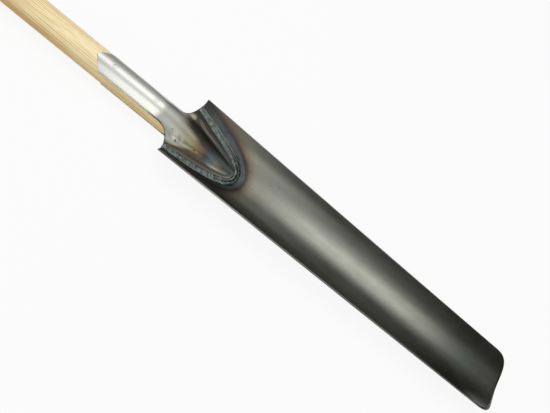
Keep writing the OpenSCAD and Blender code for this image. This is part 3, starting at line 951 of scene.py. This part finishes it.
@dataclass(frozen=True)
class PressedSheet:
    """A pressed steel sheet: stations along X with an edge on each side, and a softened sheet edge."""

    facing: Facing = Facing.BACK
    columns: int = 110
    edge_soft: float = 0.3
    soft_limit: float = 0.125
    crease: float = 32.0
    strap_counts: tuple[int, int, int] = (9, 14, 30)

    def stations(self) -> tuple[Array, Array, Array]:
        """x of each station and the signed lengths of its two edges."""
        raise NotImplementedError

    def heat(self, x: Array, arc: Array) -> Array:
        """How far each point lies from the weld's heat."""
        raise NotImplementedError

    def sink(self, x: Array, y: Array) -> Array:
        """How much the upper face is ground away at each point."""
        return np.zeros_like(y)

    def strap(self, last_turn: float) -> tuple[Array, Array]:
        """Lays stations from the strap's point to the end of its shoulder curve.

        Args:
            last_turn: Where that curve ends on its quarter round, in radians.

        Returns:
            x of each station and the length out to its edge.
        """
        reach, wrap, edge_r = SIZES.strap(self.facing)
        point_n, strap_n, curve_n = self.strap_counts
        point_x = -reach + SIZES.point_length * np.linspace(0, 1, point_n)
        plan = point_half_w(point_x, reach, edge_r * math.sin(wrap))
        strap_x = np.linspace(point_x[-1], -SIZES.shoulder_length, strap_n)[1:-1]
        turn = np.linspace(0, last_turn, curve_n)
        edges = [edge_r * np.arcsin(plan / edge_r), np.full(len(strap_x), edge_r * wrap),
                 shoulder_edge(self.facing, turn)]
        return np.concatenate([point_x, strap_x, shoulder_x(turn)]), np.concatenate(edges)

    def build(self, name: str) -> bpy.types.Object:
        """Builds the sheet's mesh.

        Args:
            name: Name of the piece.

        Returns:
            The piece, with its run, span, edge gap, weld gap and rim stored at each point.
        """
        x, left, right = (column[:, None] for column in self.stations())
        t, soft = SIZES.sheet_t, np.minimum(self.edge_soft, (right - left) * self.soft_limit)
        inner = left + soft + np.linspace(0, 1, self.columns)[None, :] * (right - left - 2 * soft)
        top = np.zeros_like(inner)
        lengths = np.hstack([inner, right, right, inner[:, ::-1], left, left])
        depths = np.hstack([top, soft, t - soft, top + t, t - soft, soft])
        y, z, tilt = Section(self.facing, x[:, 0]).points(lengths)
        along = np.repeat(x, lengths.shape[1], axis=1)
        lowered = np.maximum(depths, np.minimum(self.sink(along, y), t - self.edge_soft))
        rings = np.stack([along, y - lowered * np.sin(tilt), z - lowered * np.cos(tilt)], axis=-1)
        arc = SIZES.trough_r * np.arcsin(np.clip(y / SIZES.trough_r, -1, 1))
        rim = np.zeros_like(lengths)
        rim[:, [self.columns, self.columns + 1, -2, -1]] = 1.0
        gap = np.minimum(lengths - left, right - lengths)
        return make_object(name, ring_tube(rings), self.crease, run=along, span=lengths, edge_gap=gap,
                           weld_gap=self.heat(along, arc), rim=rim)


@dataclass(frozen=True)
class Blade(PressedSheet):
    """The trough with its rounded tip and the back strap behind the wood."""

    bevel_w: float = 3.0
    bevel_t: float = 1.1
    bulge_n: int = 46
    trough_n: int = 60
    tip_n: int = 48
    tip_share: float = 0.983
    far_heat: tuple[Pair, Pair] = ((50.0, 85.0), (1.0, 1.05))
    drift_fade: float = 4.0

    @property
    def tip_x(self) -> float:
        """Where the straight sides end."""
        return SIZES.blade_length - SIZES.tip_round

    def edge(self, x: Array) -> Array:
        """Length along the section out to the straight side at x."""
        width = SIZES.blade_top_w + (SIZES.blade_tip_w - SIZES.blade_top_w) * x / SIZES.blade_length
        return Section(self.facing, x).length_at(np.arcsin(width / 2 / SIZES.trough_r))

    def stations(self) -> tuple[Array, Array, Array]:
        """Lays stations from the back strap's point to the blade's tip.

        Returns:
            x of each station and the signed lengths of its two edges.
        """
        strap_x, strap = self.strap(QUARTER)
        trough_x = np.concatenate([np.linspace(0, SIZES.back_fade, self.bulge_n)[1:],
                                   np.linspace(SIZES.back_fade, self.tip_x, self.trough_n)[1:]])
        turn = np.linspace(0, QUARTER * self.tip_share, self.tip_n)[1:]
        tip_x = self.tip_x + SIZES.tip_round * np.sin(turn) ** (2 / SIZES.tip_power)
        tip = self.edge(tip_x) * np.cos(turn) ** (2 / SIZES.tip_power)
        edge = np.concatenate([strap, self.edge(trough_x), tip])
        return np.concatenate([strap_x, trough_x, tip_x]), -edge, edge

    def sink(self, x: Array, y: Array) -> Array:
        """Grinds a bevel along the rounded tip.

        Args:
            x: Places along the tool.
            y: Places across it.

        Returns:
            How much is ground away.
        """
        across = np.clip(np.abs(y) / (SIZES.blade_tip_w / 2), 0, 1)
        rim_x = self.tip_x + SIZES.tip_round * (1 - across ** SIZES.tip_power) ** (1 / SIZES.tip_power)
        share = np.clip(1 - (rim_x - x) / self.bevel_w, 0, 1)
        return np.where(x > self.tip_x, self.bevel_t * share, 0.0)

    def heat(self, x: Array, arc: Array) -> Array:
        """Distance outside the bead's toe, in millimetres."""
        out = np.maximum(0.0, TONGUE.distance(x, arc) - SIZES.bead_toe)
        return out * np.interp(x, *self.far_heat) + TONGUE.drift(x, arc) * np.exp(-out / self.drift_fade)

    def dress(self) -> None:
        """Builds the blade and gives it its finish."""
        settle(self.build("blade_sheet"), BladeSteel().build(), "blade_steel", "blade")


@dataclass(frozen=True)
class FrontStrap(PressedSheet):
    """The front strap, its flared neck, its bulge and the tongue on the trough."""

    facing: Facing = Facing.FRONT
    columns: int = 120
    strap_counts: tuple[int, int, int] = (12, 22, 26)
    tongue_n: int = 84
    tongue_share: float = 0.9995
    tip_half: float = 8.0
    cold: tuple[tuple[float, ...], ...] = ((-10.0, 0.0, 10.0, 20.0), (4.0, 2.2, 1.2, 1.0))

    def stations(self) -> tuple[Array, Array, Array]:
        """Lays stations from the strap's point to the tongue's tip.

        Returns:
            x of each station and the signed lengths of its two edges.
        """
        strap_x, strap = self.strap(TONGUE.corner_turn)
        turn = np.linspace(0, QUARTER, self.tongue_n)[1:]
        x = TONGUE.corner_x + TONGUE.run * self.tongue_share * np.sin(turn)
        half, lean, cut = TONGUE.half(x), TONGUE.lean(x), Section(self.facing, x)
        left, right = (np.sign(arc) * cut.length_at(np.abs(arc) / SIZES.trough_r)
                       for arc in (lean - half, lean + half))
        return np.concatenate([strap_x, x]), np.concatenate([-strap, left]), np.concatenate([strap, right])

    def heat(self, x: Array, arc: Array) -> Array:
        """Distance inside the bead's lap, in half widths of the tongue, and larger on the cold strap."""
        inside = np.maximum(0.0, TONGUE.distance(x, arc) - SIZES.bead_lap - TONGUE.drift(x, arc))
        return inside / np.maximum(TONGUE.half(x), self.tip_half) * np.interp(x, *self.cold)

    def dress(self) -> None:
        """Builds the strap and gives it its finish."""
        settle(self.build("front_strap_sheet"), StrapSteel().build(), "strap_steel", "front_strap")


@dataclass(frozen=True)
class WeldBead:
    """The rippled bead round the tongue, in a run on each side and a doubled pass round the tip."""

    pitch: float = 2.3
    ripple: float = 0.2
    ripple_mean: float = 0.6
    chevron: float = 1.1
    lumps: float = 0.5
    crown: float = 1.75
    roundness: float = 0.7
    lap_rise: Pair = (0.1, 0.95)
    insets: Pair = (0.25, 0.2)
    groove: Triple = (0.5, 0.42, 0.11)
    # Each wave: how far it goes and how long it is.
    waver: tuple[Pair, Pair] = ((0.35, 13.0), (0.2, 4.1))
    crown_wave: Pair = (0.25, 9.0)
    pitch_wave: Pair = (0.25, 6.0)
    groove_wave: Pair = (0.25, 11.0)
    # Each lump wave: how long it is and how far it runs ahead across the bead.
    lump_waves: tuple[Pair, Pair] = ((2.9, 3.1), (7.3, 1.7))
    lap_waver: float = 0.5
    second_pass: float = 0.55
    start_w: Pair = (0.78, 0.3)
    start_run: Pair = (4.0, 30.0)
    blob: Pair = (0.2, 3.0)
    close: Triple = (1.4, 0.03, 1.0)
    thinnest: float = 0.05
    under_share: float = 0.9
    rise_gain: float = 0.9
    under_rise: float = 0.2
    columns: int = 22
    path_n: int = 400
    step: float = 0.45
    nudge: float = 0.012
    crease: float = 60.0

    @property
    def q(self) -> Array:
        """Places across the bead's upper face, from its toe on the trough to its lap on the tongue."""
        return np.linspace(0, 1, self.columns)[None, :]

    def plain(self, crown: Array | float) -> Array:
        """Height above the trough of a bead with a given crown."""
        hump = np.power(np.clip(4 * self.q * (1 - self.q), 0, 1), self.roundness)
        return SIZES.lap_top * smooth_step(self.q, *self.lap_rise) + hump * crown

    def profile(self, arc_run: Array, doubled: Array, seed: int) -> tuple[Array, Array]:
        """Lateral reach and height of the bead's upper face.

        Args:
            arc_run: Length along the bead at each station.
            doubled: Share of the second pass at each station.
            seed: Chooses the bead's lumps.

        Returns:
            Reach outward from the tongue's edge, and height above the trough, by station and column.
        """
        q, run = self.q, arc_run[:, None]
        waves = (*self.waver, self.crown_wave, self.pitch_wave)
        slow, quick, crown, shift = (by * wander(run / long, seed + n) for n, (by, long) in enumerate(waves))
        waver = slow + quick
        toe, lap = SIZES.bead_toe - self.insets[0], SIZES.bead_lap - self.insets[1]
        reach = (toe + waver) * (1 - q) - (lap + self.lap_waver * waver) * q
        phase = run / self.pitch + self.chevron * (2 * q - 1) ** 2 + shift
        scale = np.abs(np.sin(np.pi * phase)) ** self.roundness
        lump = self.lumps
        for n, (long, skew) in enumerate(self.lump_waves):
            lump = lump * wander(run / long + skew * q, seed + 4 + n)
        depth, groove_at, groove_w = self.groove
        patchy = depth + self.groove_wave[0] * wander(run / self.groove_wave[1], seed + 6)
        groove = patchy * doubled[:, None] * np.exp(-((q - groove_at) / groove_w) ** 2)
        crown = self.crown + crown + self.ripple * (scale - self.ripple_mean) + lump - groove
        return reach, self.plain(crown)

    def run(self, name: str, node: str, start: float, end: float, seed: int, material: Material) -> None:
        """Builds one run of the bead.

        Args:
            name: Name of the piece.
            node: The node that it stands for.
            start: Where it starts along the tongue's edge, from -1 to 1.
            end: Where it ends.
            seed: Chooses its lumps.
            material: Its finish.
        """
        fine = np.linspace(start, end, self.path_n)
        length = np.concatenate([[0.0], np.cumsum(np.hypot(*np.diff(TONGUE.point(fine), axis=0).T))])
        count = int(length[-1] / self.step)
        arc_run = np.linspace(0, length[-1], count)
        t = np.interp(arc_run, length, fine)
        here = TONGUE.point(t)
        along = TONGUE.point(np.clip(t + self.nudge, -1, 1)) - TONGUE.point(np.clip(t - self.nudge, -1, 1))
        along /= np.linalg.norm(along, axis=1, keepdims=True)
        doubled = 1 - smooth_step(np.abs(t), self.second_pass * SIZES.tip_t, SIZES.tip_t)
        reach, height = self.profile(arc_run, doubled, seed)
        cold = (np.minimum(1 - np.abs(t), 0.5) * length[-1] / abs(end - start))[:, None]
        reach = reach * (self.start_w[0] + self.start_w[1] * smooth_step(cold, *self.start_run))
        reach -= TONGUE.drift(*here.T)[:, None]
        blob = 1 + self.blob[0] * np.exp(-(cold / self.blob[1]) ** 2)
        close = np.sqrt(np.clip(cold / self.close[0], *self.close[1:]))
        gap, lap_top = SIZES.seat_gap, SIZES.lap_top
        floor = np.where(reach > gap, gap, lap_top)
        height = floor + np.maximum(self.thinnest, height * blob * close - floor)
        rise = np.clip(0.5 + (height - self.plain(self.crown)) * self.rise_gain, 0, 1)
        under = np.array([-SIZES.bead_lap * self.under_share, gap, gap, SIZES.bead_toe * self.under_share])
        reach = np.hstack([reach, np.tile(under, (count, 1))])
        height = np.hstack([height, np.tile([lap_top, lap_top, gap, gap], (count, 1))])
        rings = trough_point(here[:, :1] + along[:, 1:] * reach, here[:, 1:] - along[:, :1] * reach, height)
        piece = make_object(name, ring_tube(rings), self.crease,
                            rise=np.hstack([rise, np.full((count, len(under)), self.under_rise)]),
                            run=np.repeat(arc_run[:, None], reach.shape[1], axis=1), span=reach)
        settle(piece, material, "weld_metal", node)

    def dress(self) -> None:
        """Builds the three runs and gives them their finish."""
        material, tip_t = WeldMetal().build(), SIZES.tip_t
        self.run("bead_left", "weld_left", -1.0, -tip_t, 11, material)
        self.run("bead_tip", "weld_tip", -tip_t, tip_t, 23, material)
        self.run("bead_right", "weld_right", tip_t, 1.0, 37, material)


@dataclass(frozen=True)
class Shaft:
    """The ash shaft with its seats for both straps, its saddle under the grip and its tenon."""

    gap: float = 0.45
    segments: tuple[int, int, int] = (40, 22, 44)
    bare_counts: tuple[int, int] = (40, 30)
    seat_counts: tuple[int, int, int, int] = (14, 10, 12, 22)
    tenon_sides: int = 64
    tenon_shares: tuple[float, ...] = (1.0, 0.75, 0.5, 0.25, 0.04)
    sliver: float = 0.004
    near: float = 0.001
    merge: float = 0.01
    crease: float = 35.0

    def radius(self, x: Array) -> Array:
        """Radius of the round shaft at x."""
        share = np.clip((-x - SIZES.shaft_reach + SIZES.shaft_taper) / SIZES.shaft_taper, 0, 1)
        return SIZES.shaft_r - (SIZES.shaft_r - SIZES.shaft_neck_r) * share ** 2

    def grip_face(self, y: Array, z: Array) -> Array:
        """How far the grip's face lies from its axis at y and z."""
        share = np.clip(np.abs(y) / (SIZES.grip_length / 2 - SIZES.grip_rim_r), 0, 1)
        return np.sqrt((SIZES.grip_r - (SIZES.grip_r - SIZES.grip_end_r) * share ** 2) ** 2 - z ** 2)

    def seat_r(self, x: float) -> float:
        """Radius of the wood under the front strap at x."""
        return float(Section(Facing.FRONT, x).ridge_z[0]) - SIZES.sheet_t - SIZES.seat_gap

    def seat_angle(self, x: float, facing: Facing) -> float:
        """Finds the half angle that a strap takes, with the gap beside it.

        Args:
            x: Place along the tool.
            facing: The strap.

        Returns:
            The angle, in radians.
        """
        reach, wrap, edge_r = SIZES.strap(facing)
        if x < -SIZES.shoulder_length:
            half = max(float(point_half_w(x, reach, edge_r * math.sin(wrap))), SIZES.point_w / 2)
            edge = edge_r * math.asin(half / edge_r)
        else:
            edge = float(shoulder_edge(facing, math.asin(1 + x / SIZES.shoulder_length))[0])
        return (edge + self.gap) / edge_r

    def ring(self, x: float, front_r: float, side_r: float, back_r: float) -> Array:
        """Lays one ring of the wood.

        Args:
            x: Place along the tool.
            front_r: Radius of the front seat.
            side_r: Radius of the bare sides.
            back_r: Radius of the back seat.

        Returns:
            Points of the front seat, one side, the back seat and the other side.
        """
        front_n, side_n, back_n = self.segments
        front = self.seat_angle(x, Facing.FRONT)
        back = min(self.seat_angle(x, Facing.BACK), math.pi - front - self.sliver)
        turns = [-front, front, math.pi - back, math.pi + back, math.tau - front]
        counts, radii = (front_n, side_n, back_n, side_n), (front_r, side_r, back_r, side_r)
        angle = np.concatenate([np.linspace(*ends) for ends in zip(turns, turns[1:], counts)])
        r = np.repeat(radii, counts)
        return np.stack([np.full_like(angle, x), r * np.sin(angle), r * np.cos(angle)], axis=-1)

    def rings(self) -> Array:
        """Lays rings from the saddle under the grip down to the nose.

        Returns:
            Points by ring and place in the ring.
        """
        top, taper = -SIZES.shaft_reach, -SIZES.shaft_reach + SIZES.shaft_taper
        front, back = -SIZES.front_reach, -SIZES.back_reach
        r, core_r = SIZES.shaft_r, SIZES.seat_r - SIZES.seat_gap
        bare = np.concatenate([np.linspace(top + SIZES.grip_r, taper, self.bare_counts[0]),
                               np.linspace(taper, front - self.gap, self.bare_counts[1])[1:]])
        rings = [self.ring(x, *[bare_r] * 3) for x, bare_r in zip(bare, self.radius(bare))]
        saddle = rings[0]
        saddle[:, 0] = top + SIZES.seat_gap + self.grip_face(saddle[:, 1], saddle[:, 2])
        last_turn = math.radians(SIZES.strip_end_angle)
        front_n, back_n, strap_n, neck_n = self.seat_counts
        seats = [np.linspace(front - self.gap, front + SIZES.point_length, front_n),
                 np.linspace(back - self.gap, back + SIZES.point_length, back_n),
                 np.linspace(back + SIZES.point_length, -SIZES.shoulder_length, strap_n),
                 shoulder_x(np.linspace(0, last_turn, neck_n))]
        for x in np.unique(np.concatenate(seats).round(4)).tolist():
            if x < back - self.gap + self.near:
                rings.append(self.ring(x, self.seat_r(x), r, r))
            if x > back - self.gap - self.near:
                rings.append(self.ring(x, self.seat_r(x), r, core_r))
        strip_end = float(shoulder_x(last_turn))
        root, nose = (self.ring(strip_end, *[end_r] * 3) for end_r in (self.seat_r(strip_end), SIZES.nose_r))
        nose[:, 0] = SIZES.nose_reach
        return np.array([*rings, root, nose])

    def tenon(self) -> Shape:
        """Makes the tenon, from inside the shaft to its end, flush with the grip.

        Returns:
            Points and faces.
        """
        angle = np.linspace(0, math.tau, self.tenon_sides, endpoint=False)
        y, z = SIZES.tenon_r * np.sin(angle), SIZES.tenon_r * np.cos(angle)
        root_x = np.full_like(y, -SIZES.shaft_reach + SIZES.grip_r + SIZES.tenon_r)
        rings = [np.stack([root_x, y, z], axis=-1)]
        for share in self.tenon_shares:
            crown = -SIZES.shaft_reach - self.grip_face(share * y, share * z) + SIZES.seat_gap
            rings.append(np.stack([crown, share * y, share * z], axis=-1))
        return ring_tube(np.array(rings))

    def dress(self) -> None:
        """Builds the shaft and gives it its finish."""
        piece = make_object("ash_shaft", joined(ring_tube(self.rings()), self.tenon()), self.crease)
        work = bmesh.new()
        work.from_mesh(piece.data)
        bmesh.ops.remove_doubles(work, verts=work.verts, dist=self.merge * MM)
        work.to_mesh(piece.data)
        work.free()
        ash = Ash("shaft_ash", linear(253, 238, 194), linear(240, 217, 163), linear(188, 152, 94), 0,
                  (0.1, 0.09, 0.06), 0.0024, linear(203, 162, 90))
        settle(piece, ash.build(), "shaft_ash", "shaft")


@dataclass(frozen=True)
class Rivets:
    """The rivets through both straps, ground almost flush with a fine line round each head."""

    dome: float = 0.04
    sunk: float = 0.02
    middle: float = 0.02
    rings: int = 8
    segments: int = 48
    crease: float = 40.0
    punch: Pair = (-104.0, 1.0)

    def head(self, reach: float, side: float) -> Shape:
        """One head, bent to the strap's round.

        Args:
            reach: From the shoulders up to the rivet.
            side: 1 for the front, -1 for the back.

        Returns:
            Points and faces.
        """
        angle = np.linspace(0, math.tau, self.segments, endpoint=False)
        radii = SIZES.rivet_head_r * np.linspace(1, self.middle, self.rings)
        domed = self.dome * (1 - np.linspace(1, 0, self.rings) ** 3) - self.sunk
        rows = []
        for a, lift in zip([SIZES.rivet_r, *radii], [-SIZES.sheet_t, *domed]):
            x, bend, r = a * np.cos(angle) - reach, a * np.sin(angle) / SIZES.strap_r, SIZES.strap_r + lift
            rows.append(np.stack([x, r * np.sin(bend), side * r * np.cos(bend)], axis=-1))
        return ring_tube(np.array(rows))

    def dress(self) -> None:
        """Builds both rivets and gives them their finish."""
        steel = PlainSteel("rivet_steel", (0.50, 0.505, 0.465), 0.26, (*self.punch, SIZES.strap_r)).build()
        for place, reach in zip(("upper", "lower"), SIZES.rivet_reaches):
            shape = joined(self.head(reach, 1.0), self.head(reach, -1.0))
            piece = make_object(f"rivet_heads_{place}", shape, self.crease)
            settle(piece, steel, "rivet_steel", f"rivet_{place}")


@dataclass(frozen=True)
class Grip:
    """The grip with its wedge and pin, which keep the meshes of their nodes."""

    grip: Ash = Ash("grip_ash", linear(243, 230, 195), linear(235, 215, 170), linear(212, 182, 130), 1,
                    (-0.53, 0.0, -0.07))
    wedge: Ash = Ash("wedge_wood", linear(196, 150, 96), linear(170, 122, 72), linear(120, 80, 44), 0,
                     (-0.6, 0.02, 0.0))
    pin: PlainSteel = PlainSteel("pin_steel", (0.35, 0.35, 0.34), 0.35)

    def dress(self) -> None:
        """Gives each node its finish."""
        for node, finish in (("grip", self.grip), ("tenon_wedge", self.wedge), ("grip_pin", self.pin)):
            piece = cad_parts[node]
            piece.data.materials.clear()
            piece.data.materials.append(finish.build())
            LOG.info("%s: finished", node)


@dataclass(frozen=True)
class SoftBox:
    """A flat soft box that faces the tool's axis, between two angles from the vertical and two runs."""

    name: str
    angles: Pair
    run: Pair
    radiance: float
    reach: float = 1310.0

    def build(self) -> None:
        """Hangs the lamp, with angles towards -Y as positive."""
        turn, half = (math.radians(self.angles[1] + sign * self.angles[0]) / 2 for sign in (1, -1))
        data = bpy.data.lights.new(self.name, "AREA")
        data.shape, data.size = "RECTANGLE", (self.run[1] - self.run[0]) * MM
        data.size_y = 2 * self.reach * math.tan(half) * MM
        data.energy = self.radiance * math.pi * data.size * data.size_y
        place = (sum(self.run) / 2, -self.reach * math.sin(turn), self.reach * math.cos(turn))
        move = Matrix.Translation(DATUM.place(place))
        link(self.name, data).matrix_world = move @ Matrix.Rotation(turn, 4, "X")


@dataclass(frozen=True)
class Studio:
    """Camera, lamps, floor and world."""

    camera_at: Triple = (112.43, -254.1, 485.1)
    right: Triple = (0.77202, 0.53956, 0.33594)
    up: Triple = (-0.63268, 0.70294, 0.32495)
    back: Triple = (-0.06082, -0.46341, 0.88405)
    lens: float = 29.127
    sensor: float = 36.0
    clip: float = 0.01
    floor_r: float = 20.0
    floor_sides: int = 96
    wall_height: float = 4.6
    wall_span: Pair = (170.0, 355.0)
    floor_drop: float = 0.0004
    floor_white: float = 0.72
    floor_rough: float = 0.9
    floor_glow: float = 0.9
    world_bright: float = 0.25
    world_dark: float = 0.03
    world_turn: Pair = (-0.5, 0.65)
    boxes: tuple[SoftBox, ...] = (
        SoftBox("head", (-36.0, 0.0), (-1500.0, -750.0), 1.3),
        SoftBox("strap_upper", (-56.0, -40.0), (-750.0, -100.0), 1.0),
        SoftBox("strap_core", (-40.0, -7.0), (-750.0, -100.0), 2.05),
        SoftBox("strap_lower", (-7.0, 17.0), (-750.0, -100.0), 1.1),
        SoftBox("strap_side", (17.0, 74.0), (-750.0, 0.0), 2.05),
        SoftBox("blade_upper", (-44.0, -32.0), (-100.0, 1120.0), 0.95),
        SoftBox("blade_core", (-32.0, 3.0), (-100.0, 400.0), 1.9),
        SoftBox("blade_far", (-32.0, 3.0), (400.0, 1080.0), 2.5),
        SoftBox("blade_lower", (3.0, 14.0), (-100.0, 900.0), 1.0),
        SoftBox("blade_slope", (14.0, 25.0), (0.0, 700.0), 0.55),
        SoftBox("blade_side", (25.0, 48.0), (0.0, 260.0), 1.2),
        SoftBox("blade_side_far", (28.0, 48.0), (260.0, 520.0), 0.45),
        SoftBox("fill", (-82.0, -56.0), (-750.0, 300.0), 0.45))

    def camera(self) -> None:
        """Sets the camera to the photograph's view."""
        data = bpy.data.cameras.new("camera")
        data.lens, data.sensor_width, data.clip_start = self.lens, self.sensor, self.clip
        camera = link("camera", data)
        turn = Matrix((self.right, self.up, self.back)).transposed().to_4x4()
        camera.matrix_world = Matrix.Translation(DATUM.place(self.camera_at)) @ turn
        bpy.context.scene.camera = camera

    def floor(self) -> None:
        """Adds the white floor under the tool and a low wall far off on the -Y side, which both glow."""
        count, drop = self.floor_sides, -self.floor_drop
        points = []
        for span, z in (((0.0, 360.0 - 360.0 / count), drop), (self.wall_span, drop),
                        (self.wall_span, self.wall_height)):
            turns = np.radians(np.linspace(*span, count))
            points += [(self.floor_r * math.cos(turn), self.floor_r * math.sin(turn), z) for turn in turns]
        wall = [tuple(count + index for index in face) for face in grid_faces(2, count, False)]
        mesh = bpy.data.meshes.new("floor")
        mesh.from_pydata(points, [], [tuple(range(count)), *wall])
        floor = link("floor", mesh)
        g = Graph(bpy.data.materials.new("floor"))
        g.finish(base_color=(self.floor_white,) * 3, roughness=self.floor_rough, specular_ior_level=0.0)
        rays = (g.node("LightPath", {}, f"Is {ray} Ray") for ray in ("Camera", "Glossy", "Transmission"))
        share = g.product(g.math("MINIMUM", g.total(*rays), 1.0), self.floor_glow)
        matt, glow = g.nodes["Principled BSDF"].outputs[0], g.node("Emission", {})
        g.feed(g.nodes["Material Output"].inputs[0], g.node("MixShader", {0: share, 1: matt, 2: glow}))
        mesh.materials.append(g.block)

    def sky(self) -> None:
        """Lights the room softly, and less beyond the blade's tip."""
        g = Graph(bpy.data.worlds.new("studio"))
        along = g.node("SeparateXYZ", {0: g.node("TexCoord", {}, "Generated")})
        background = g.nodes["Background"].inputs
        g.feed(background["Color"], (1.0, 1.0, 1.0))
        g.feed(background["Strength"], g.span(along, *self.world_turn, self.world_bright, self.world_dark))
        bpy.context.scene.world = g.block

    def dress(self) -> None:
        """Builds the studio."""
        bpy.context.scene.view_settings.view_transform = "Standard"
        self.sky()
        self.camera()
        self.floor()
        for box in self.boxes:
            box.build()


def main() -> None:
    """Builds the tool's looks and the studio."""
    logging.basicConfig(level=logging.INFO, format="%(message)s")
    for part in (Studio(), Blade(), FrontStrap(), WeldBead(), Shaft(), Rivets(), Grip()):
        part.dress()


if __name__ == "__main__":
    main()
